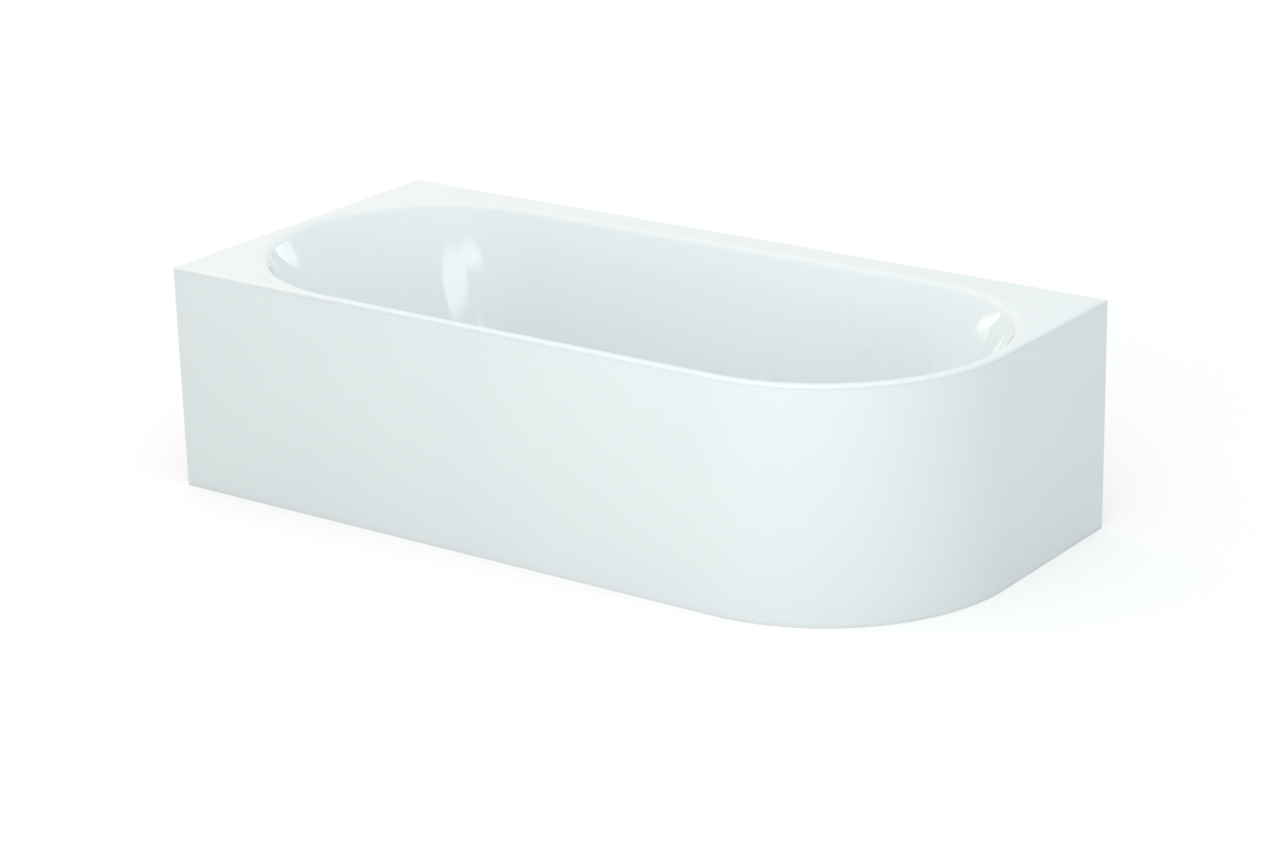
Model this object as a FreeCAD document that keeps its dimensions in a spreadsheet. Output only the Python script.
import FreeCAD, Part
import math
import os

import Sketcher
from FreeCAD import Placement, Rotation, Vector

# A built-in corner bath: an oval basin pressed in a steel deck, with one large rounded corner and an
# apron that runs from the left wall, round that corner, to the back wall.
# Frame: X along the bath, Y from the apron to the back wall, Z up, origin on the floor under the middle.
# All lengths are millimetres and all angles are degrees.

SIZES = {
    # Overall plan and height
    "length": 1850,
    "width": 850,
    "rim_height": 510,
    "corner_radius": 425,
    # Enamelled steel shell
    "shell_wall": 3,
    "rim_front": 26,
    "rim_left": 28,
    "rim_back": 76,
    "basin_floor_height": 105,
    "wall_lean_angle": 12.8,
    "left_end_run": 230,
    "right_end_run": 230,
    "floor_radius": 110,
    "lip_radius": 18,
    "nose_height": 8,
    "nose_radius": 5,
    "flange_height": 43,
    "recess_radius": 46,
    "recess_depth": 4,
    "waste_hole_radius": 26,
    "overflow_drop": 92,
    "overflow_hole_radius": 26,
    # Apron and its seals
    "apron_wall": 2.5,
    "apron_return": 20,
    "glue_gap": 0.5,
    "seam_gap": 0.3,
    "floor_seal_height": 4,
    "floor_seal_width": 8,
    # Clearances shared by the fits
    "running_gap": 0.05,
    "free_gap": 0.3,
    "hole_gap": 0.5,
    # Waste fitting in the basin floor
    "upper_seal_height": 1.5,
    "lower_seal_height": 3,
    "strainer_radius": 43,
    "sleeve_radius": 24,
    "sleeve_wall": 3.5,
    "sleeve_length": 22,
    "spider_drop": 15,
    "spoke_radius": 2,
    "stem_radius": 4,
    "guide_wall": 3.5,
    "guide_length": 8,
    "waste_flange_radius": 40,
    "waste_flange_height": 5,
    "waste_body_height": 47,
    "bowl_radius": 31,
    "bowl_wall": 3,
    "neck_depth": 14,
    # Plug
    "plug_radius": 33,
    "plug_edge": 1.5,
    "plug_dome": 4,
    "plug_seal_height": 1.2,
    "plug_seal_radius": 30,
    "plug_seal_width": 7,
    # Crank under the plug, its pin and the end of the pull wire
    "crank_back": 20,
    "crank_rise": 9,
    "crank_arm": 20,
    "crank_tilt_angle": 13,
    "crank_width": 8,
    "crank_bar": 4,
    "crank_hub_radius": 4.5,
    "crank_tip_radius": 3,
    "crank_upright": 17,
    "wire_lever": 14,
    "pin_radius": 2,
    "pin_length": 43,
    "wire_radius": 0.8,
    "wire_length": 42,
    "nipple_radius": 2,
    "nipple_length": 6,
    "wire_slot_width": 2.4,
    "wire_slot_height": 4,
    # Pull cable
    "sheath_radius": 3,
    "sheath_bore_radius": 1.2,
    "sheath_bore_depth": 45,
    "cable_stub_radius": 6,
    "cable_stub_length": 14,
    "cable_offset": 24,
    "cable_side_reach": 150,
    "cable_bend": 45,
    "cable_entry_depth": 10,
    # Waste outlet and trap
    "outlet_radius": 20,
    "outlet_wall": 2.5,
    "outlet_length": 56,
    "trap_seal_height": 2,
    "trap_nut_radius": 26,
    "trap_nut_length": 22,
    "trap_distance": 118,
    "trap_radius": 42,
    "trap_wall": 3,
    "trap_drop": 59,
    "trap_height": 80,
    "baffle_wall": 2.5,
    "baffle_offset": 24,
    "baffle_clearance": 24,
    "drain_pipe_radius": 25,
    "drain_pipe_wall": 2.5,
    "drain_pipe_rise": 51,
    "drain_pipe_reach": 215,
    "spigot_length": 60,
    "spigot_collar_radius": 29,
    "spigot_collar_width": 6,
    "cap_radius": 30,
    "cap_height": 5,
    # Overflow fitting in the front wall
    "overflow_seal_height": 3,
    "cup_radius": 33,
    "cup_depth": 22,
    "cup_wall": 2.5,
    "boss_radius": 4.5,
    "screw_offset": 21,
    "screw_radius": 1.9,
    "screw_head_radius": 3.8,
    "screw_head_height": 2,
    "screw_length": 14,
    "faceplate_radius": 36,
    "faceplate_wall": 2,
    "port_radius": 4.5,
    "port_circle": 13.5,
    "port_count": 6,
    "knob_radius": 34,
    "knob_height": 12,
    "knob_edge": 4,
    "knob_gap": 8,
    "scallop_radius": 10,
    "scallop_bite": 5,
    "spindle_radius": 4,
    "drum_radius": 12,
    "drum_height": 6,
    "drum_gap": 3,
    # Overflow pipe
    "pipe_radius": 14,
    "pipe_wall": 2,
    "pipe_bend": 60,
    "pipe_nut_radius": 18,
    "pipe_nut_length": 18,
    "pipe_apron_gap": 5,
    "pipe_stub_drop": 12,
    "pipe_stub_rise": 40,
    "inlet_reach": 55,
    # Cross rails, pads and levelling legs
    "rail_corner_gap": 70,
    "rail_end_gap": 80,
    "rail_width": 40,
    "rail_height": 25,
    "rail_wall": 2,
    "pad_height": 4,
    "leg_inset": 30,
    "leg_radius": 6,
    "leg_spare": 12,
    "leg_nut_radius": 10.5,
    "leg_nut_height": 8,
    "foot_radius": 30,
    "foot_edge": 5,
    "foot_height": 16,
    "foot_collar_radius": 12,
    "foot_socket": 6,
    # Stays between rails and apron
    "stay_wall": 3,
    "stay_height": 16,
    "stay_tab": 30,
    "side_stay_offset": 120,
    "bolt_radius": 3,
    "bolt_head_radius": 5.5,
    "bolt_head_height": 4,
    "bolt_length": 12,
    "bolt_inset": 12,
    # Wall anchors and earth lug
    "anchor_width": 60,
    "anchor_height": 70,
    "anchor_wall": 3,
    "anchor_hook_reach": 16,
    "anchor_hook_height": 17,
    "anchor_hole_radius": 4,
    "anchor_hole_spacing": 36,
    "anchor_hole_drop": 40,
    "back_anchor_inset": 475,
    "left_anchor_inset": 275,
    "lug_width": 20,
    "lug_height": 40,
    "lug_wall": 3,
    "lug_lap": 13,
    "lug_hole_radius": 3.25,
    "lug_hole_rise": 10,
    "lug_inset": 225,
    # Sound-deadening mats
    "mat_wall": 3,
    "floor_mat_waste_gap": 165,
    "floor_mat_rail_gap": 35,
    "floor_edge_inset": 132,
    "wall_mat_drop_share": 0.35,
    "wall_mat_height_share": 0.35,
    "front_mat_middle_gap": 80,
    "front_mat_corner_gap": 80,
    "back_mat_corner_gap": 100,
}

SPOKES = 3
FULL_TURN = 360
RIGHT_ANGLE = 90
ANTICLOCKWISE = 1
CLOCKWISE = -1
TINY = 1e-4
SWEEP_ERROR_SHARE = 0.01

document = FreeCAD.newDocument("corner_bath")
PIECES = {}


class Size:
    """A length, angle or ratio: its number now, and the sheet formula that gives it."""

    def __init__(self, value, text):
        self.value = value
        self.text = text

    @staticmethod
    def of(other):
        if isinstance(other, Size):
            return other
        return Size(float(other), repr(float(other)))

    def __add__(self, other):
        other = Size.of(other)
        return Size(self.value + other.value, f"({self.text} + {other.text})")

    def __sub__(self, other):
        other = Size.of(other)
        return Size(self.value - other.value, f"({self.text} - {other.text})")

    def __mul__(self, other):
        other = Size.of(other)
        return Size(self.value * other.value, f"({self.text} * {other.text})")

    def __truediv__(self, other):
        other = Size.of(other)
        return Size(self.value / other.value, f"({self.text} / {other.text})")

    def __neg__(self):
        return Size(-self.value, f"(-{self.text})")


def sine(angle):
    return Size(math.sin(math.radians(angle.value)), f"sin({angle.text} * 1 deg)")


def cosine(angle):
    return Size(math.cos(math.radians(angle.value)), f"cos({angle.text} * 1 deg)")


class Sheet:
    """The driving sizes: written to a spreadsheet once and read back as attributes."""

    def __init__(self, sizes):
        cells = document.addObject("Spreadsheet::Sheet", "dims")
        for row, (alias, number) in enumerate(sizes.items(), 1):
            cells.set(f"A{row}", alias)
            cells.set(f"B{row}", str(number))
            cells.setAlias(f"B{row}", alias)
        document.recompute()
        for alias in sizes:
            setattr(self, alias, Size(float(cells.get(alias)), f"dims.{alias}"))


dims = Sheet(SIZES)
NOTHING = Size(0.0, "0")
half_length = dims.length / 2
half_width = dims.width / 2

# Levels and lines that several sub-parts share
basin_middle = dims.corner_radius - half_width
front_radius = dims.corner_radius - dims.rim_front
back_radius = half_width - dims.rim_back - basin_middle
floor_top = dims.basin_floor_height
basin_depth = dims.rim_height - floor_top
floor_under = floor_top - dims.shell_wall
deck_under = dims.rim_height - dims.shell_wall
flange_setback = dims.apron_wall + dims.glue_gap
flange_bottom = dims.rim_height - dims.flange_height
nose_bottom = dims.rim_height - dims.nose_height
apron_inside = half_width - dims.apron_wall
wall_slope = dims.wall_lean_angle
lean_share = sine(wall_slope) / cosine(wall_slope)
side_run = basin_depth * lean_share
floor_middle = basin_middle + (back_radius - front_radius) / 2
flat_floor = front_radius + back_radius - (side_run + dims.floor_edge_inset) * 2
straight_end = half_length - dims.corner_radius
wall_turn = Size.of(RIGHT_ANGLE) - wall_slope
wall_rotation = Rotation(Vector(-1, 0, 0), wall_turn.value)
wall_skin = dims.shell_wall * cosine(wall_slope)

# The waste fitting stands under the middle of the basin floor
recess_top = floor_top - dims.recess_depth
recess_under = recess_top - dims.shell_wall
waste_top = recess_under - dims.lower_seal_height
bowl_bottom = waste_top - dims.waste_body_height
bowl_floor = bowl_bottom + dims.bowl_wall
bowl_bore = dims.bowl_radius - dims.bowl_wall
outlet_height = bowl_bottom + dims.outlet_radius
crank_height = bowl_floor + dims.crank_rise
wire_height = crank_height + dims.wire_lever
stem_bottom = (
    crank_height - dims.crank_arm * sine(dims.crank_tilt_angle) + dims.crank_tip_radius + dims.free_gap
)

# The overflow fitting sits square on the sloping front wall
overflow_height = dims.rim_height - dims.overflow_drop
overflow_line = basin_middle - front_radius + dims.overflow_drop * lean_share
pipe_line = -apron_inside + dims.pipe_apron_gap + dims.pipe_nut_radius
pipe_stub_bottom = overflow_height - dims.cup_radius - dims.pipe_stub_drop
cup_front = -(wall_skin + dims.overflow_seal_height)
cup_back = cup_front - dims.cup_depth

# The rails lie under the floor with the damping pads between
rail_top = floor_under - dims.pad_height
rail_bottom = rail_top - dims.rail_height
rail_line = straight_end - dims.rail_corner_gap
rail_length = (floor_middle + half_width - dims.rail_end_gap) * 2


# Helpers that bind sizes and build plain solids


def number_vector(sizes):
    return Vector(*[size.value for size in sizes])


def bind(item, name, size):
    item.setExpression(name, Size.of(size).text)


def place(item, base, turn=Rotation(), angle=None):
    item.Placement = Placement(number_vector(base), turn)
    for axis, size in zip("xyz", base):
        bind(item, f"Placement.Base.{axis}", size)
    if angle is not None:
        bind(item, "Placement.Rotation.Angle", angle)


TURNS = {"x": Rotation(Vector(0, 1, 0), 90), "y": Rotation(Vector(-1, 0, 0), 90), "z": Rotation()}


def cylinder(label, radius, height, base, axis="z"):
    item = document.addObject("Part::Cylinder", label)
    bind(item, "Radius", radius)
    bind(item, "Height", height)
    place(item, base, TURNS[axis])
    return item


def box(label, spans):
    item = document.addObject("Part::Box", label)
    for name, (low, high) in zip(("Length", "Width", "Height"), spans):
        bind(item, name, high - low)
    place(item, [low for low, high in spans])
    return item


def fuse(label, shapes):
    item = document.addObject("Part::MultiFuse", label)
    item.Shapes = shapes
    return item


def cut(label, base, tools):
    item = document.addObject("Part::Cut", label)
    item.Base = base
    item.Tool = tools[0] if len(tools) == 1 else fuse(f"{label}_cutters", tools)
    return item


def group(label, items):
    item = document.addObject("Part::Compound", label)
    item.Links = items
    return item


def keep(item):
    """Registers a finished sub-part; its label names its file."""
    PIECES[item.Label] = item
    return item


def middle(size, spread):
    return (size - spread / 2, size + spread / 2)


# Helpers for sketched bodies


def origin_plane(body, role):
    return next(feature for feature in body.Origin.OriginFeatures if feature.Role == role)


def add_dimension(sketch, kind, first, second, size):
    if size.value < 0:
        first, second = second, first
        size = -size
    index = sketch.addConstraint(Sketcher.Constraint(kind, *first, *second, size.value))
    sketch.setExpression(f"Constraints[{index}]", size.text)


def add_arc(sketch, start, stop, arc):
    """Draws the arc between two corners and returns its edge with the ends in walking order."""
    centre = Vector(arc[0].value, arc[1].value, 0)
    radius = arc[2]
    if arc[3] == CLOCKWISE:
        start, stop = stop, start
    from_angle = math.atan2(start.y - centre.y, start.x - centre.x)
    to_angle = math.atan2(stop.y - centre.y, stop.x - centre.x)
    if to_angle <= from_angle:
        to_angle += 2 * math.pi
    circle = Part.Circle(centre, Vector(0, 0, 1), radius.value)
    edge = sketch.addGeometry(Part.ArcOfCircle(circle, from_angle, to_angle))
    index = sketch.addConstraint(Sketcher.Constraint("Radius", edge, radius.value))
    sketch.setExpression(f"Constraints[{index}]", radius.text)
    if arc[3] == CLOCKWISE:
        return (edge, 2, 1)
    return (edge, 1, 2)


def add_loop(sketch, corners):
    """Draws a closed outline. A corner is (x, y), or (x, y, arc) where an arc leads on to the next
    corner; the arc is (centre x, centre y, radius, direction)."""
    ends = []
    following = corners[1:] + corners[:1]
    for corner, after in zip(corners, following):
        start = Vector(corner[0].value, corner[1].value, 0)
        stop = Vector(after[0].value, after[1].value, 0)
        if len(corner) == 2:
            ends.append((sketch.addGeometry(Part.LineSegment(start, stop)), 1, 2))
        else:
            ends.append(add_arc(sketch, start, stop, corner[2]))
    for here, corner in enumerate(corners):
        edge, first, last = ends[here]
        before = ends[here - 1]
        sketch.addConstraint(Sketcher.Constraint("Coincident", before[0], before[2], edge, first))
        add_dimension(sketch, "DistanceX", (-1, 1), (edge, first), corner[0])
        add_dimension(sketch, "DistanceY", (-1, 1), (edge, first), corner[1])


def sketch_on(body, label, height, role="XY_Plane"):
    sketch = body.newObject("Sketcher::SketchObject", label)
    sketch.AttachmentSupport = (origin_plane(body, role), [""])
    sketch.MapMode = "FlatFace"
    bind(sketch, "AttachmentOffset.Base.z", height)
    return sketch


def outline(body, label, height, loops):
    sketch = sketch_on(body, label, height)
    for corners in loops:
        add_loop(sketch, corners)
    return sketch


def add_circle(sketch, x, y, radius):
    circle = Part.Circle(Vector(x.value, y.value, 0), Vector(0, 0, 1), radius.value)
    edge = sketch.addGeometry(circle)
    index = sketch.addConstraint(Sketcher.Constraint("Radius", edge, radius.value))
    sketch.setExpression(f"Constraints[{index}]", radius.text)
    add_dimension(sketch, "DistanceX", (-1, 1), (edge, 3), x)
    add_dimension(sketch, "DistanceY", (-1, 1), (edge, 3), y)


def pad(body, label, sketch, length):
    feature = body.newObject("PartDesign::Pad", label)
    feature.Profile = sketch
    bind(feature, "Length", length)
    return feature


def pocket(body, label, sketch, length):
    feature = body.newObject("PartDesign::Pocket", label)
    feature.Profile = sketch
    bind(feature, "Length", length)
    document.recompute()
    return feature


def loft(body, label, upper, lower):
    feature = body.newObject("PartDesign::AdditiveLoft", label)
    feature.Profile = upper
    feature.Sections = [lower]
    feature.Ruled = True
    document.recompute()
    return feature


def fillet(body, label, radius, wanted):
    """Rounds the edges of the body's last feature that the test picks out."""
    base = body.Tip
    names = [f"Edge{index}" for index, edge in enumerate(base.Shape.Edges, 1) if wanted(edge)]
    feature = body.newObject("PartDesign::Fillet", label)
    feature.Base = (base, names)
    bind(feature, "Radius", radius)
    document.recompute()
    return feature


def turned(label, corners, base=(NOTHING, NOTHING, NOTHING), turn=Rotation(), angle=None):
    """A round body: the outline in (radius, height) turned once about its own upright axis."""
    body = document.addObject("PartDesign::Body", label)
    sketch = sketch_on(body, f"{label}_profile", NOTHING, "XZ_Plane")
    add_loop(sketch, corners)
    feature = body.newObject("PartDesign::Revolution", f"{label}_turn")
    feature.Profile = sketch
    feature.ReferenceAxis = (sketch, ["V_Axis"])
    place(body, base, turn, angle)
    return body


def ring_corners(inner, outer, low, high):
    return [(inner, low), (outer, low), (outer, high), (inner, high)]


def plug_corners(radius, low, high):
    return [(NOTHING, low), (radius, low), (radius, high), (NOTHING, high)]


def is_level(edge, height):
    bounds = edge.BoundBox
    return abs(bounds.ZMin - height.value) < TINY and abs(bounds.ZMax - height.value) < TINY


def middle_point(edge):
    return edge.valueAt((edge.FirstParameter + edge.LastParameter) / 2)


# Enamelled shell: deck, rolled edge, folded flange and basin


def rim_corners(inset):
    """The plan of the bath, drawn in by the inset: square but for the large front right corner."""
    centre = straight_end
    arc = (centre, basin_middle, dims.corner_radius - inset, ANTICLOCKWISE)
    return [
        (-half_length + inset, -half_width + inset),
        (centre, -half_width + inset, arc),
        (half_length - inset, basin_middle),
        (half_length - inset, half_width - inset),
        (-half_length + inset, half_width - inset),
    ]


def basin_corners(grow, side_run, left_run, right_run):
    """The oval of the basin at one level: two straights and four quarter circles."""
    front = front_radius - side_run + grow
    back = back_radius - side_run + grow
    left = -half_length + dims.rim_left + left_run - grow
    right = half_length - dims.rim_front - right_run + grow
    return [
        (left + front, basin_middle - front),
        (right - front, basin_middle - front, (right - front, basin_middle, front, ANTICLOCKWISE)),
        (right, basin_middle, (right - back, basin_middle, back, ANTICLOCKWISE)),
        (right - back, basin_middle + back),
        (left + back, basin_middle + back, (left + back, basin_middle, back, ANTICLOCKWISE)),
        (left, basin_middle, (left + front, basin_middle, front, ANTICLOCKWISE)),
    ]


def basin_solid(body, grow):
    """The bowl as a solid: a straight-sided loft from rim to floor with a large floor rounding."""
    upper = outline(body, "rim_oval", dims.rim_height, [basin_corners(grow, NOTHING, NOTHING, NOTHING)])
    low = floor_top - grow
    stretch = (basin_depth + grow) / basin_depth
    runs = [run * stretch for run in (side_run, dims.left_end_run, dims.right_end_run)]
    lower = outline(body, "floor_oval", low, [basin_corners(grow, *runs)])
    loft(body, "bowl", upper, lower)
    fillet(body, "floor_rounding", dims.floor_radius + grow, lambda edge: is_level(edge, low))


def on_outline(point):
    """True where a point lies on the outer plan of the bath."""
    if abs(abs(point.x) - half_length.value) < TINY or abs(abs(point.y) - half_width.value) < TINY:
        return True
    across = point.x - straight_end.value
    along = point.y - basin_middle.value
    return across > 0 > along and abs(math.hypot(across, along) - dims.corner_radius.value) < TINY


def on_wall(depth, x=NOTHING):
    """The point at a depth along the overflow axis; positive is into the basin."""
    line = overflow_line + depth * cosine(wall_slope)
    return (x, line, overflow_height + depth * sine(wall_slope))


def is_lip(edge):
    return is_level(edge, dims.rim_height) and not on_outline(middle_point(edge))


def is_nose(edge):
    return is_level(edge, dims.rim_height) and on_outline(middle_point(edge))


def is_under_lip(edge):
    """The inner corner where the outside of the basin meets the underside of the deck."""
    if not is_level(edge, deck_under):
        return False
    flange_inside = (flange_setback + dims.shell_wall).value
    point = middle_point(edge)
    to_side = half_length.value - abs(point.x)
    to_edge = half_width.value - abs(point.y)
    across = point.x - straight_end.value
    along = point.y - basin_middle.value
    if across > 0 > along:
        return dims.corner_radius.value - math.hypot(across, along) > flange_inside + TINY
    return min(to_side, to_edge) > flange_inside + TINY


def build_shell():
    body = document.addObject("PartDesign::Body", "tub_shell")
    pad(body, "deck", outline(body, "deck_plan", deck_under, [rim_corners(NOTHING)]), dims.shell_wall)
    inner = rim_corners(flange_setback + dims.shell_wall)
    nose_plan = outline(body, "nose_plan", nose_bottom, [rim_corners(NOTHING), inner])
    pad(body, "nose", nose_plan, dims.nose_height)
    flange_plan = outline(body, "flange_plan", flange_bottom, [rim_corners(flange_setback), inner])
    pad(body, "flange", flange_plan, dims.flange_height - dims.shell_wall)
    basin_solid(body, dims.shell_wall)
    boss_plan = sketch_on(body, "recess_boss_plan", recess_under)
    add_circle(boss_plan, NOTHING, floor_middle, dims.recess_radius + dims.shell_wall)
    pad(body, "recess_boss", boss_plan, dims.recess_depth)
    hollow = document.addObject("PartDesign::Body", "basin_hollow")
    basin_solid(hollow, NOTHING)
    carve = body.newObject("PartDesign::Boolean", "basin_carve")
    carve.Type = "Cut"
    carve.setObjects([hollow])
    document.recompute()
    recess_plan = sketch_on(body, "recess_plan", floor_top)
    add_circle(recess_plan, NOTHING, floor_middle, dims.recess_radius)
    pocket(body, "recess", recess_plan, dims.recess_depth)
    waste_plan = sketch_on(body, "waste_hole_plan", recess_top)
    add_circle(waste_plan, NOTHING, floor_middle, dims.waste_hole_radius)
    pocket(body, "waste_hole", waste_plan, dims.shell_wall)
    overflow_plan = sketch_on(body, "overflow_hole_plan", NOTHING)
    start = on_wall(dims.shell_wall)
    overflow_plan.AttachmentOffset = Placement(number_vector(start), wall_rotation)
    for axis, size in zip("xyz", start):
        bind(overflow_plan, f"AttachmentOffset.Base.{axis}", size)
    bind(overflow_plan, "AttachmentOffset.Rotation.Angle", wall_turn)
    add_circle(overflow_plan, NOTHING, NOTHING, dims.overflow_hole_radius)
    pocket(body, "overflow_hole", overflow_plan, dims.shell_wall * 2)
    fillet(body, "lip", dims.lip_radius, is_lip)
    fillet(body, "under_lip", dims.lip_radius - dims.shell_wall, is_under_lip)
    fillet(body, "nose_rounding", dims.nose_radius, is_nose)
    keep(body)


# Apron and the seals round the edges


def apron_corners(near, far):
    """A band between two insets that follows the front, the rounded corner and the right side."""
    centre = straight_end
    outer_arc = (centre, basin_middle, dims.corner_radius - near, ANTICLOCKWISE)
    inner_arc = (centre, basin_middle, dims.corner_radius - far, CLOCKWISE)
    return [
        (-half_length, -half_width + near),
        (centre, -half_width + near, outer_arc),
        (half_length - near, basin_middle),
        (half_length - near, half_width),
        (half_length - far, half_width),
        (half_length - far, basin_middle, inner_arc),
        (centre, -half_width + far),
        (-half_length, -half_width + far),
    ]


def band(body, label, low, height, near, far):
    plan = outline(body, f"{label}_plan", low, [apron_corners(near, far)])
    pad(body, label, plan, height)


def rectangle(x_span, y_span):
    return [(x_span[0], y_span[0]), (x_span[1], y_span[0]), (x_span[1], y_span[1]), (x_span[0], y_span[1])]


def build_apron():
    body = document.addObject("PartDesign::Body", "apron")
    bottom = dims.floor_seal_height
    height = nose_bottom - dims.seam_gap - bottom
    band(body, "apron_sheet", bottom, height, NOTHING, dims.apron_wall)
    band(body, "bottom_return", bottom, dims.apron_wall, NOTHING, dims.apron_return)
    left_return = rectangle(
        (-half_length, -half_length + dims.apron_wall), (-half_width, -half_width + dims.apron_return)
    )
    right_return = rectangle(
        (half_length - dims.apron_return, half_length), (half_width - dims.apron_wall, half_width)
    )
    ends = outline(body, "end_returns_plan", bottom, [left_return, right_return])
    pad(body, "end_returns", ends, height)
    keep(body)


def build_edge_seals():
    floor_seal = document.addObject("PartDesign::Body", "apron_floor_seal")
    band(floor_seal, "floor_strip", NOTHING, dims.floor_seal_height, NOTHING, dims.floor_seal_width)
    keep(floor_seal)
    wall_seal = document.addObject("PartDesign::Body", "rim_wall_seal")
    front_end = -half_width + dims.apron_return + dims.free_gap
    right_end = half_length - dims.apron_return - dims.free_gap
    corners = [
        (-half_length, front_end),
        (-half_length + flange_setback, front_end),
        (-half_length + flange_setback, half_width - flange_setback),
        (right_end, half_width - flange_setback),
        (right_end, half_width),
        (-half_length, half_width),
    ]
    plan = outline(wall_seal, "wall_strip_plan", flange_bottom, [corners])
    pad(wall_seal, "wall_strip", plan, nose_bottom - flange_bottom)
    keep(wall_seal)


# Waste fitting: flange, seals, body, plug and the crank that lifts it

waste_axis = (NOTHING, floor_middle, NOTHING)


def on_waste(x=NOTHING, y=NOTHING, z=NOTHING):
    return (x, floor_middle + y, z)


def build_waste_flange():
    disc_under = recess_top + dims.upper_seal_height
    sleeve_bottom = disc_under - dims.sleeve_length
    bore = dims.sleeve_radius - dims.sleeve_wall
    corners = [
        (bore, sleeve_bottom),
        (dims.sleeve_radius, sleeve_bottom),
        (dims.sleeve_radius, disc_under),
        (dims.strainer_radius, disc_under),
        (dims.strainer_radius, floor_top),
        (bore, floor_top),
    ]
    sleeve = turned("waste_flange_sleeve", corners, waste_axis)
    spider_height = floor_top - dims.spider_drop
    guide_low = spider_height - dims.guide_length / 2
    guide_radius = dims.stem_radius + dims.guide_wall
    guide = cylinder("stem_guide", guide_radius, dims.guide_length, on_waste(z=guide_low))
    spokes = []
    for number in range(SPOKES):
        reach = dims.sleeve_radius - dims.sleeve_wall / 2
        spoke = cylinder(f"spoke_{number}", dims.spoke_radius, reach, on_waste(z=spider_height))
        turn = Rotation(Vector(0, 0, 1), FULL_TURN * number / SPOKES + RIGHT_ANGLE)
        place(spoke, on_waste(z=spider_height), turn.multiply(TURNS["x"]))
        spokes.append(spoke)
    solid = fuse("waste_flange_solid", [sleeve, guide, *spokes])
    stem_bore = dims.stem_radius + dims.running_gap
    bore_tool = cylinder("stem_bore", stem_bore, dims.guide_length, on_waste(z=guide_low))
    keep(cut("waste_flange", solid, [bore_tool]))


def build_waste_seals():
    corners = ring_corners(
        dims.waste_hole_radius, dims.strainer_radius, recess_top, recess_top + dims.upper_seal_height
    )
    keep(turned("waste_upper_seal", corners, waste_axis))
    corners = ring_corners(dims.waste_hole_radius, dims.waste_flange_radius, waste_top, recess_under)
    keep(turned("waste_lower_seal", corners, waste_axis))


def build_waste_body():
    neck_bore = dims.sleeve_radius + dims.running_gap
    neck_bottom = waste_top - dims.neck_depth
    flange_under = waste_top - dims.waste_flange_height
    outside = [
        (NOTHING, bowl_bottom),
        (dims.bowl_radius, bowl_bottom),
        (dims.bowl_radius, flange_under),
        (dims.waste_flange_radius, flange_under),
        (dims.waste_flange_radius, waste_top),
        (NOTHING, waste_top),
    ]
    hollow = [
        (NOTHING, bowl_floor),
        (bowl_bore, bowl_floor),
        (bowl_bore, neck_bottom),
        (neck_bore, neck_bottom),
        (neck_bore, waste_top),
        (NOTHING, waste_top),
    ]
    stub_start = bowl_bore + dims.bowl_wall / 2
    outlet_start = on_waste(stub_start, z=outlet_height)
    outlet_run = dims.outlet_length - stub_start
    outlet = cylinder("waste_outlet", dims.outlet_radius, outlet_run, outlet_start, "x")
    inlet_start = on_waste(y=-dims.inlet_reach, z=outlet_height)
    inlet = cylinder("overflow_inlet", dims.pipe_radius, dims.inlet_reach - stub_start, inlet_start, "y")
    cable_end = -(dims.bowl_radius + dims.cable_stub_length)
    cable_start = on_waste(cable_end, z=wire_height)
    cable_stub = cylinder("cable_stub", dims.cable_stub_radius, -cable_end - stub_start, cable_start, "x")
    solid = fuse(
        "waste_body_solid", [turned("waste_bowl", outside, waste_axis), outlet, inlet, cable_stub]
    )
    outlet_bore = dims.outlet_radius - dims.outlet_wall
    inlet_bore = dims.pipe_radius - dims.pipe_wall
    sheath_fit = dims.sheath_radius + dims.running_gap
    pin_start = on_waste(-dims.crank_back, -dims.pin_length / 2, crank_height)
    pin_fit = dims.pin_radius + dims.running_gap
    tools = [
        turned("waste_bowl_hollow", hollow, waste_axis),
        cylinder("outlet_bore", outlet_bore, dims.outlet_length, on_waste(z=outlet_height), "x"),
        cylinder("inlet_bore", inlet_bore, dims.inlet_reach, inlet_start, "y"),
        cylinder("cable_bore", sheath_fit, -cable_end, cable_start, "x"),
        cylinder("pin_bore", pin_fit, dims.pin_length, pin_start, "y"),
    ]
    keep(cut("waste_body", solid, tools))


def build_plug():
    seal_low = floor_top + dims.running_gap
    cap_under = seal_low + dims.plug_seal_height
    edge_top = cap_under + dims.plug_edge
    cap_top = edge_top + dims.plug_dome
    reach = dims.plug_radius
    dome_radius = (reach * reach + dims.plug_dome * dims.plug_dome) / (dims.plug_dome * 2)
    corners = [
        (NOTHING, stem_bottom),
        (dims.stem_radius, stem_bottom),
        (dims.stem_radius, cap_under),
        (reach, cap_under),
        (reach, edge_top, (NOTHING, cap_top - dome_radius, dome_radius, ANTICLOCKWISE)),
        (NOTHING, cap_top),
    ]
    keep(turned("plug", corners, waste_axis))
    inner = dims.plug_seal_radius - dims.plug_seal_width
    corners = ring_corners(inner, dims.plug_seal_radius, seal_low, cap_under)
    keep(turned("plug_seal", corners, waste_axis))


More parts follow.
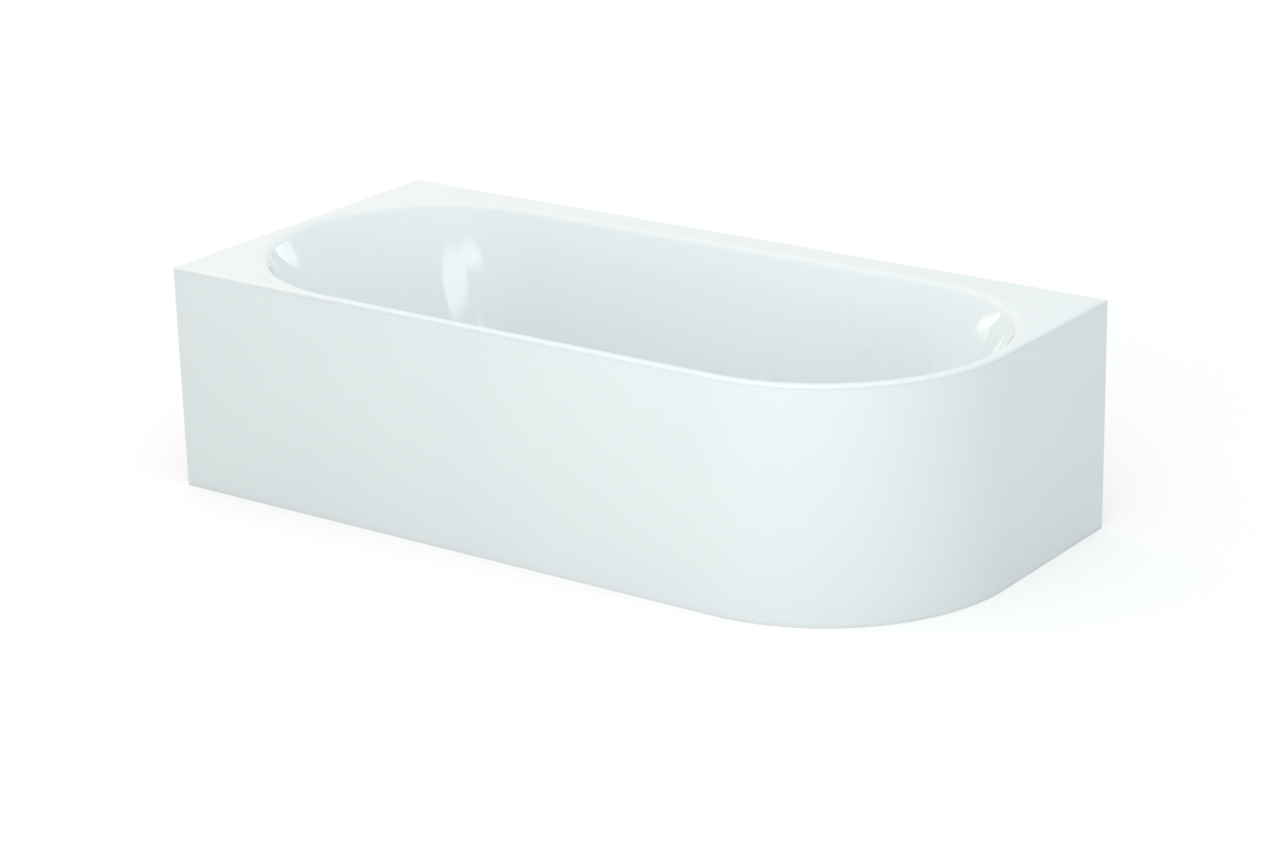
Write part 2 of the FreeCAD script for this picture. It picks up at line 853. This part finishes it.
def build_crank():
    """The bell crank is drawn upright about its pin, then leaned to its place under the closed plug."""
    half_bar = dims.crank_bar / 2
    across = middle(NOTHING, dims.crank_width)
    arm = box("crank_arm_bar", [(NOTHING, dims.crank_arm), across, (-half_bar, half_bar)])
    upright = box("crank_upright_bar", [(-half_bar, half_bar), across, (NOTHING, dims.crank_upright)])
    hub_start = (NOTHING, across[0], NOTHING)
    tip_start = (dims.crank_arm, across[0], NOTHING)
    hub = cylinder("crank_hub", dims.crank_hub_radius, dims.crank_width, hub_start, "y")
    tip = cylinder("crank_tip", dims.crank_tip_radius, dims.crank_width, tip_start, "y")
    solid = fuse("crank_solid", [arm, upright, hub, tip])
    pin_fit = dims.pin_radius + dims.running_gap
    pin_bore = cylinder("crank_bore", pin_fit, dims.crank_width, hub_start, "y")
    slot_spans = [
        (-dims.crank_bar, dims.crank_bar),
        middle(NOTHING, dims.wire_slot_width),
        middle(dims.wire_lever, dims.wire_slot_height),
    ]
    crank = cut("lift_crank", solid, [pin_bore, box("crank_slot", slot_spans)])
    pivot = on_waste(-dims.crank_back, z=crank_height)
    place(crank, pivot, Rotation(Vector(0, 1, 0), dims.crank_tilt_angle.value), dims.crank_tilt_angle)
    keep(crank)
    start = on_waste(-dims.crank_back, -dims.pin_length / 2, crank_height)
    keep(cylinder("crank_pin", dims.pin_radius, dims.pin_length, start, "y"))


def build_pull_wire():
    lean = dims.wire_lever * sine(dims.crank_tilt_angle) / cosine(dims.crank_tilt_angle)
    stand_off = (dims.crank_bar / 2 + dims.nipple_radius + dims.free_gap) / cosine(dims.crank_tilt_angle)
    nipple = -dims.crank_back + lean + stand_off
    start = on_waste(nipple, -dims.nipple_length / 2, wire_height)
    bead = cylinder("wire_nipple", dims.nipple_radius, dims.nipple_length, start, "y")
    strand_start = on_waste(nipple - dims.wire_length, z=wire_height)
    strand = cylinder("wire_strand", dims.wire_radius, dims.wire_length, strand_start, "x")
    keep(fuse("pull_wire", [bead, strand]))


# Overflow fitting in the front wall


def wall_turned(label, corners, offset=NOTHING):
    """A round body square to the sloping wall; heights run from the wall face into the basin."""
    return turned(label, corners, on_wall(NOTHING, offset), wall_rotation, wall_turn)


def build_overflow_body():
    cup = plug_corners(dims.cup_radius, cup_back, cup_front)
    cup_bore = dims.cup_radius - dims.cup_wall
    hollow = plug_corners(cup_bore, cup_back + dims.cup_wall, cup_front)
    pipe_base = (NOTHING, pipe_line, pipe_stub_bottom)
    pipe_stub = cylinder("pipe_stub", dims.pipe_radius, dims.pipe_stub_rise, pipe_base)
    cable_base = (-dims.cable_offset, pipe_line, pipe_stub_bottom)
    cable_stub = cylinder("cable_top_stub", dims.cable_stub_radius, dims.pipe_stub_rise, cable_base)
    shell = fuse("overflow_shell", [wall_turned("overflow_cup", cup), pipe_stub, cable_stub])
    bore_rise = dims.pipe_stub_rise - dims.pipe_wall
    sheath_fit = dims.sheath_radius + dims.running_gap
    pipe_bore = cylinder("pipe_stub_bore", dims.pipe_radius - dims.pipe_wall, bore_rise, pipe_base)
    cable_bore = cylinder("cable_stub_bore", sheath_fit, bore_rise, cable_base)
    cavity = wall_turned("overflow_hollow", hollow)
    drained = cut("overflow_drained", shell, [cavity, pipe_bore, cable_bore])
    bosses = []
    holes = []
    for side, sign in (("left", -1), ("right", 1)):
        offset = dims.screw_offset * sign
        corners = plug_corners(dims.boss_radius, cup_back, cup_front)
        bosses.append(wall_turned(f"boss_{side}", corners, offset))
        screw_end = dims.faceplate_wall - dims.screw_length
        corners = plug_corners(dims.screw_radius + dims.running_gap, screw_end, cup_front)
        holes.append(wall_turned(f"boss_hole_{side}", corners, offset))
    solid = fuse("overflow_with_bosses", [drained, *bosses])
    keep(cut("overflow_body", solid, holes))


def build_overflow_trim():
    keep(
        wall_turned(
            "overflow_seal", ring_corners(dims.overflow_hole_radius, dims.cup_radius, cup_front, -wall_skin)
        )
    )
    shaft_bore = dims.spindle_radius + dims.running_gap
    disc = wall_turned(
        "faceplate_disc", ring_corners(shaft_bore, dims.faceplate_radius, NOTHING, dims.faceplate_wall)
    )
    cutters = []
    for number in range(int(dims.port_count.value)):
        angle = Size.of(FULL_TURN * (number + 0.5)) / dims.port_count
        x = dims.port_circle * cosine(angle)
        rise = dims.port_circle * sine(angle)
        corners = plug_corners(dims.port_radius, NOTHING, dims.faceplate_wall)
        port = wall_turned(f"port_{number}", corners)
        line = overflow_line - rise * sine(wall_slope)
        base = (x, line, overflow_height + rise * cosine(wall_slope))
        place(port, base, wall_rotation, wall_turn)
        cutters.append(port)
    screws = []
    for side, sign in (("left", -1), ("right", 1)):
        offset = dims.screw_offset * sign
        bore = dims.screw_radius + dims.running_gap
        corners = plug_corners(bore, NOTHING, dims.faceplate_wall)
        cutters.append(wall_turned(f"faceplate_hole_{side}", corners, offset))
        corners = [
            (NOTHING, dims.faceplate_wall - dims.screw_length),
            (dims.screw_radius, dims.faceplate_wall - dims.screw_length),
            (dims.screw_radius, dims.faceplate_wall),
            (dims.screw_head_radius, dims.faceplate_wall),
            (dims.screw_head_radius, dims.faceplate_wall + dims.screw_head_height),
            (NOTHING, dims.faceplate_wall + dims.screw_head_height),
        ]
        screws.append(wall_turned(f"faceplate_screw_{side}", corners, offset))
    keep(cut("overflow_faceplate", disc, cutters))
    keep(group("faceplate_screws", screws))


def build_knob():
    low = dims.faceplate_wall + dims.knob_gap
    high = low + dims.knob_height
    edge = dims.knob_edge
    corners = [
        (NOTHING, low),
        (dims.knob_radius, low),
        (dims.knob_radius, high - edge, (dims.knob_radius - edge, high - edge, edge, ANTICLOCKWISE)),
        (dims.knob_radius - edge, high),
        (NOTHING, high),
    ]
    disc = wall_turned("knob_disc", corners)
    bites = []
    reach = dims.knob_radius + dims.scallop_radius - dims.scallop_bite
    for side, sign in (("left", -1), ("right", 1)):
        corners = plug_corners(dims.scallop_radius, low, high)
        bites.append(wall_turned(f"scallop_{side}", corners, reach * sign))
    keep(cut("overflow_knob", disc, bites))
    drum_low = cup_back + dims.cup_wall + dims.drum_gap
    keep(wall_turned("knob_spindle", plug_corners(dims.spindle_radius, drum_low, low)))
    drum = ring_corners(dims.spindle_radius, dims.drum_radius, drum_low, drum_low + dims.drum_height)
    keep(wall_turned("cable_drum", drum))


# Overflow pipe and the pull cable beside it


def swept(label, points, bend, radius):
    """A round rod along straight runs joined by tangent arcs of one bend radius."""
    edges = []
    start = points[0]
    for before, corner, after in zip(points, points[1:], points[2:]):
        back = (before - corner).normalize()
        ahead = (after - corner).normalize()
        half_angle = back.getAngle(ahead) / 2
        leg = bend / math.tan(half_angle)
        to_centre = (back + ahead).normalize()
        centre = corner + to_centre * (bend / math.sin(half_angle))
        entry = corner + back * leg
        leave = corner + ahead * leg
        edges.append(Part.LineSegment(start, entry).toShape())
        edges.append(Part.Arc(entry, centre - to_centre * bend, leave).toShape())
        start = leave
    edges.append(Part.LineSegment(start, points[-1]).toShape())
    route = Part.Wire(edges)
    circle = Part.Circle(points[0], points[1] - points[0], radius).toShape()
    rod = route.makePipeShell([Part.Wire(circle)], True, False)
    expected = math.pi * radius * radius * route.Length
    if abs(rod.Volume - expected) > expected * SWEEP_ERROR_SHARE:
        raise ValueError(f"{label}: swept volume {rod.Volume:.0f}, expected {expected:.0f}")
    return rod


def build_overflow_pipe():
    path = [
        number_vector((NOTHING, pipe_line, pipe_stub_bottom)),
        number_vector((NOTHING, pipe_line, outlet_height)),
        number_vector(on_waste(y=-dims.inlet_reach, z=outlet_height)),
    ]
    bore = (dims.pipe_radius - dims.pipe_wall).value
    outside = swept("overflow_pipe", path, dims.pipe_bend.value, dims.pipe_radius.value)
    inside = swept("overflow_pipe_bore", path, dims.pipe_bend.value, bore)
    pipe = document.addObject("Part::Feature", "overflow_pipe")
    pipe.Shape = outside.cut(inside)
    pipe.Placement = Placement()
    keep(pipe)
    fit = dims.pipe_radius + dims.running_gap
    corners = ring_corners(fit, dims.pipe_nut_radius, NOTHING, dims.pipe_nut_length)
    top_base = (NOTHING, pipe_line, pipe_stub_bottom - dims.pipe_nut_length / 2)
    keep(turned("pipe_top_nut", corners, top_base))
    bottom_base = on_waste(y=-dims.inlet_reach - dims.pipe_nut_length / 2, z=outlet_height)
    keep(turned("pipe_bottom_nut", corners, bottom_base, TURNS["y"]))


def build_cable_sheath():
    entry = -(bowl_bore + dims.free_gap)
    path = [
        number_vector((-dims.cable_offset, pipe_line, pipe_stub_bottom + dims.cable_entry_depth)),
        number_vector((-dims.cable_offset, pipe_line, wire_height)),
        number_vector(on_waste(-dims.cable_side_reach, z=wire_height)),
        number_vector(on_waste(entry, z=wire_height)),
    ]
    rod = swept("cable_sheath", path, dims.cable_bend.value, dims.sheath_radius.value)
    bore_base = number_vector(on_waste(entry - dims.sheath_bore_depth, z=wire_height))
    bore = Part.makeCylinder(
        dims.sheath_bore_radius.value, dims.sheath_bore_depth.value, bore_base, Vector(1, 0, 0)
    )
    sheath = document.addObject("Part::Feature", "cable_sheath")
    sheath.Shape = rod.cut(bore)
    sheath.Placement = Placement()
    keep(sheath)


# Trap beside the waste body

trap_start = dims.outlet_length + dims.trap_seal_height
trap_bottom = outlet_height - dims.trap_drop
trap_top = trap_bottom + dims.trap_height
drain_height = trap_bottom + dims.drain_pipe_rise


def build_trap():
    outlet_bore = dims.outlet_radius - dims.outlet_wall
    corners = ring_corners(outlet_bore, dims.outlet_radius, NOTHING, dims.trap_seal_height)
    keep(turned("trap_seal", corners, on_waste(dims.outlet_length, z=outlet_height), TURNS["x"]))
    fit = dims.outlet_radius + dims.running_gap
    corners = ring_corners(fit, dims.trap_nut_radius, NOTHING, dims.trap_nut_length)
    nut_start = dims.outlet_length - dims.trap_nut_length / 2
    keep(turned("trap_nut", corners, on_waste(nut_start, z=outlet_height), TURNS["x"]))

    base = on_waste(dims.trap_distance, z=trap_bottom)
    cup = cylinder("trap_cup", dims.trap_radius, dims.trap_height, base)
    inlet_reach = dims.trap_distance - trap_start
    inlet_start = on_waste(trap_start, z=outlet_height)
    inlet = cylinder("trap_inlet", dims.outlet_radius, inlet_reach, inlet_start, "x")
    drain_start = on_waste(dims.trap_distance, z=drain_height)
    drain = cylinder("trap_outlet", dims.drain_pipe_radius, dims.drain_pipe_reach, drain_start, "y")
    collar_line = dims.drain_pipe_reach - dims.spigot_length - dims.spigot_collar_width
    collar_start = on_waste(dims.trap_distance, collar_line, drain_height)
    collar = cylinder("trap_collar", dims.spigot_collar_radius, dims.spigot_collar_width, collar_start, "y")
    solid = fuse("trap_solid", [cup, inlet, drain, collar])
    hollow_base = on_waste(dims.trap_distance, z=trap_bottom + dims.trap_wall)
    hollow_height = dims.trap_height - dims.trap_wall * 2
    drain_bore = dims.drain_pipe_radius - dims.drain_pipe_wall
    tools = [
        cylinder("trap_hollow", dims.trap_radius - dims.trap_wall, hollow_height, hollow_base),
        cylinder("trap_inlet_bore", outlet_bore, inlet_reach, inlet_start, "x"),
        cylinder("trap_outlet_bore", drain_bore, dims.drain_pipe_reach, drain_start, "y"),
    ]
    keep(cut("trap_body", solid, tools))

    plate_x = dims.trap_distance - dims.baffle_offset
    plate = box(
        "baffle_plate",
        [
            (plate_x, plate_x + dims.baffle_wall),
            middle(floor_middle, dims.trap_radius * 2),
            (trap_bottom + dims.baffle_clearance, trap_top - dims.trap_wall),
        ],
    )
    inside = cylinder("baffle_trim", dims.trap_radius - dims.trap_wall, hollow_height, hollow_base)
    baffle = document.addObject("Part::MultiCommon", "trap_baffle")
    baffle.Shapes = [plate, inside]
    keep(baffle)
    cap_base = on_waste(dims.trap_distance, z=trap_bottom - dims.cap_height)
    keep(cylinder("trap_cleaning_cap", dims.cap_radius, dims.cap_height, cap_base))


# Cross rails, pads and levelling legs


def leg_lines():
    reach = rail_length / 2 - dims.leg_inset
    return (("front", floor_middle - reach), ("back", floor_middle + reach))


def sides():
    return (("left", -rail_line), ("right", rail_line))


def build_rails():
    for side, x in sides():
        along = middle(floor_middle, rail_length)
        channel = box(f"rail_{side}_channel", [middle(x, dims.rail_width), along, (rail_bottom, rail_top)])
        inside = middle(x, dims.rail_width - dims.rail_wall * 2)
        tools = [box(f"rail_{side}_hollow", [inside, along, (rail_bottom, rail_top - dims.rail_wall)])]
        for end, y in leg_lines():
            hole = dims.leg_radius + dims.hole_gap
            tools.append(cylinder(f"rail_{side}_{end}_hole", hole, dims.rail_height, (x, y, rail_bottom)))
        for y in stay_bolt_lines(side):
            bolt_hole = dims.bolt_radius + dims.running_gap
            start = (x + dims.rail_width / 2 - dims.rail_wall, y, stay_middle)
            tools.append(cylinder(f"rail_{side}_bolt_hole", bolt_hole, dims.rail_wall, start, "x"))
        keep(cut(f"cross_rail_{side}", channel, tools))
        spans = [middle(x, dims.rail_width), middle(floor_middle, flat_floor), (rail_top, floor_under)]
        keep(box(f"rail_pad_{side}", spans))


def hex_nut(label, base):
    prism = document.addObject("Part::Prism", f"{label}_blank")
    prism.Polygon = 6
    bind(prism, "Circumradius", dims.leg_nut_radius)
    bind(prism, "Height", dims.leg_nut_height)
    place(prism, base)
    bore = cylinder(f"{label}_bore", dims.leg_radius + dims.running_gap, dims.leg_nut_height, base)
    return cut(label, prism, [bore])


def build_legs():
    nuts = []
    leg_length = rail_top + dims.leg_nut_height + dims.leg_spare - dims.foot_socket
    for side, x in sides():
        for end, y in leg_lines():
            name = f"{end}_{side}"
            foot = [
                (NOTHING, NOTHING),
                (dims.foot_radius, NOTHING),
                (dims.foot_radius, dims.foot_edge),
                (dims.foot_collar_radius, dims.foot_height),
                (dims.leg_radius, dims.foot_height),
                (dims.leg_radius, dims.foot_socket),
                (NOTHING, dims.foot_socket),
            ]
            keep(turned(f"leg_foot_{name}", foot, (x, y, NOTHING)))
            spindle_base = (x, y, dims.foot_socket)
            keep(cylinder(f"leg_spindle_{name}", dims.leg_radius, leg_length, spindle_base))
            nuts.append(hex_nut(f"nut_above_{name}", (x, y, rail_top)))
            low = rail_top - dims.rail_wall - dims.leg_nut_height
            nuts.append(hex_nut(f"nut_below_{name}", (x, y, low)))
    keep(group("leg_nuts", nuts))


# Stays that brace the apron from the rails

stay_middle = (rail_bottom + rail_top) / 2
stay_heights = middle(stay_middle, dims.stay_height)
front_bolt_line = floor_middle - rail_length / 2 + dims.bolt_inset
side_stay_line = floor_middle + dims.side_stay_offset
side_bolt_line = side_stay_line + dims.stay_tab - dims.bolt_inset


def stay_bolt_lines(side):
    """Where the bolts go through the outer cheek of each rail."""
    if side == "right":
        return (front_bolt_line, side_bolt_line)
    return (front_bolt_line,)


def bolt(label, x, y):
    start = (x - dims.bolt_length, y, stay_middle)
    shank = cylinder(f"{label}_shank", dims.bolt_radius, dims.bolt_length, start, "x")
    face = (x, y, stay_middle)
    head = cylinder(f"{label}_head", dims.bolt_head_radius, dims.bolt_head_height, face, "x")
    return fuse(label, [shank, head])


def build_stays():
    bolts = []
    hole = dims.bolt_radius + dims.running_gap
    for side, x in sides():
        cheek = x + dims.rail_width / 2
        outside = cheek + dims.stay_wall
        lap_end = front_bolt_line + dims.bolt_inset
        strip = box(f"stay_{side}_strip", [(cheek, outside), (-apron_inside, lap_end), stay_heights])
        tab_depth = (-apron_inside, -apron_inside + dims.stay_wall)
        tab = box(f"stay_{side}_tab", [(cheek, cheek + dims.stay_tab), tab_depth, stay_heights])
        stay = fuse(f"stay_{side}_solid", [strip, tab])
        hole_start = (cheek, front_bolt_line, stay_middle)
        tool = cylinder(f"stay_{side}_hole", hole, dims.stay_wall, hole_start, "x")
        keep(cut(f"apron_stay_{side}", stay, [tool]))
        bolts.append(bolt(f"stay_bolt_{side}", outside, front_bolt_line))

    cheek = rail_line + dims.rail_width / 2
    outside = cheek + dims.stay_wall
    near = side_stay_line
    far = near + dims.stay_tab
    wall = half_length - dims.apron_wall
    strip = box("side_stay_strip", [(cheek, wall), (near, near + dims.stay_wall), stay_heights])
    rail_tab = box("side_stay_rail_tab", [(cheek, outside), (near, far), stay_heights])
    apron_tab = box("side_stay_apron_tab", [(wall - dims.stay_wall, wall), (near, far), stay_heights])
    stay = fuse("side_stay_solid", [strip, rail_tab, apron_tab])
    tool = cylinder("side_stay_hole", hole, dims.stay_wall, (cheek, side_bolt_line, stay_middle), "x")
    keep(cut("apron_stay_side", stay, [tool]))
    bolts.append(bolt("stay_bolt_side", outside, side_bolt_line))
    keep(group("stay_bolts", bolts))


# Wall anchors and earth lug


def anchor(label, base, turn):
    """An anchor plate on the wall line with a hook under and behind the folded flange."""
    across = middle(NOTHING, dims.anchor_width)
    plate_span = (-dims.anchor_wall, NOTHING)
    hook_line = -dims.anchor_hook_reach
    plate = box(f"{label}_plate", [across, plate_span, (-dims.anchor_height, NOTHING)])
    shelf = box(f"{label}_shelf", [across, (hook_line, NOTHING), (-dims.anchor_wall, NOTHING)])
    hook_heights = (-dims.anchor_wall, dims.anchor_hook_height - dims.anchor_wall)
    hook = box(f"{label}_hook", [across, (hook_line, hook_line + dims.anchor_wall), hook_heights])
    solid = fuse(f"{label}_solid", [plate, shelf, hook])
    holes = []
    for number, x in enumerate(middle(NOTHING, dims.anchor_hole_spacing)):
        start = (x, -dims.anchor_wall, -dims.anchor_hole_drop)
        name = f"{label}_hole_{number}"
        holes.append(cylinder(name, dims.anchor_hole_radius, dims.anchor_wall, start, "y"))
    item = cut(label, solid, holes)
    place(item, base, turn)
    keep(item)


def build_anchors():
    top = flange_bottom - dims.free_gap
    reach = half_length - dims.back_anchor_inset
    for side, x in (("left", -reach), ("right", reach)):
        anchor(f"wall_anchor_back_{side}", (x, half_width, top), Rotation())
    end_base = (-half_length, half_width - dims.left_anchor_inset, top)
    anchor("wall_anchor_end", end_base, Rotation(Vector(0, 0, 1), RIGHT_ANGLE))


def build_earth_lug():
    face = half_width - flange_setback - dims.shell_wall
    bottom = flange_bottom + dims.lug_lap - dims.lug_height
    top = bottom + dims.lug_height
    x = half_length - dims.lug_inset
    spans = [middle(x, dims.lug_width), (face - dims.lug_wall, face), (bottom, top)]
    start = (x, face - dims.lug_wall, bottom + dims.lug_hole_rise)
    hole = cylinder("lug_hole", dims.lug_hole_radius, dims.lug_wall, start, "y")
    keep(cut("earth_lug", box("lug_blank", spans), [hole]))


# Sound-deadening mats on the outside of the basin


def wall_mat(label, length, height, base, turn):
    mat = box(label, [(NOTHING, length), (NOTHING, height), (NOTHING, dims.mat_wall)])
    place(mat, base, turn, wall_turn)
    keep(mat)


def build_mats():
    floor_reach = rail_line - dims.rail_width / 2 - dims.floor_mat_rail_gap
    front_reach = straight_end - dims.front_mat_corner_gap
    front_length = front_reach - dims.front_mat_middle_gap
    back_reach = straight_end - dims.back_mat_corner_gap
    top_drop = basin_depth * dims.wall_mat_drop_share
    height = basin_depth * dims.wall_mat_height_share
    depth = wall_skin + dims.mat_wall

    across = middle(floor_middle, flat_floor)
    heights = (floor_under - dims.mat_wall, floor_under)
    keep(box("floor_mat_left", [(-floor_reach, -dims.floor_mat_waste_gap), across, heights]))
    keep(box("floor_mat_right", [(dims.floor_mat_waste_gap, floor_reach), across, heights]))

    front_line = basin_middle - front_radius + top_drop * lean_share - depth * cosine(wall_slope)
    front_height = dims.rim_height - top_drop - depth * sine(wall_slope)
    for side, x in (("left", -front_reach), ("right", dims.front_mat_middle_gap)):
        base = (x, front_line, front_height)
        wall_mat(f"front_mat_{side}", front_length, height, base, wall_rotation)

    drop = top_drop + height * cosine(wall_slope)
    back_line = basin_middle + back_radius - drop * lean_share + depth * cosine(wall_slope)
    base = (-back_reach, back_line, dims.rim_height - drop - depth * sine(wall_slope))
    wall_mat("back_mat", back_reach * 2, height, base, Rotation(Vector(1, 0, 0), wall_turn.value))


def export_pieces():
    document.recompute()
    for item in document.Objects:
        if "Invalid" in item.State or "Error" in item.State:
            raise ValueError(f"{item.Label}: {item.State}")
    os.makedirs("parts", exist_ok=True)
    for label, item in PIECES.items():
        if item.Shape.isNull() or not item.Shape.isValid():
            raise ValueError(f"{label}: shape is empty or not valid")
        item.Shape.exportStep(f"parts/{label}.step")
        print(label, len(item.Shape.Solids), round(item.Shape.Volume))


build_shell()
build_apron()
build_edge_seals()
build_waste_flange()
build_waste_seals()
build_waste_body()
build_plug()
build_crank()
build_pull_wire()
build_overflow_body()
build_overflow_trim()
build_knob()
build_overflow_pipe()
build_cable_sheath()
build_trap()
build_rails()
build_legs()
build_stays()
build_anchors()
build_earth_lug()
build_mats()
export_pieces()
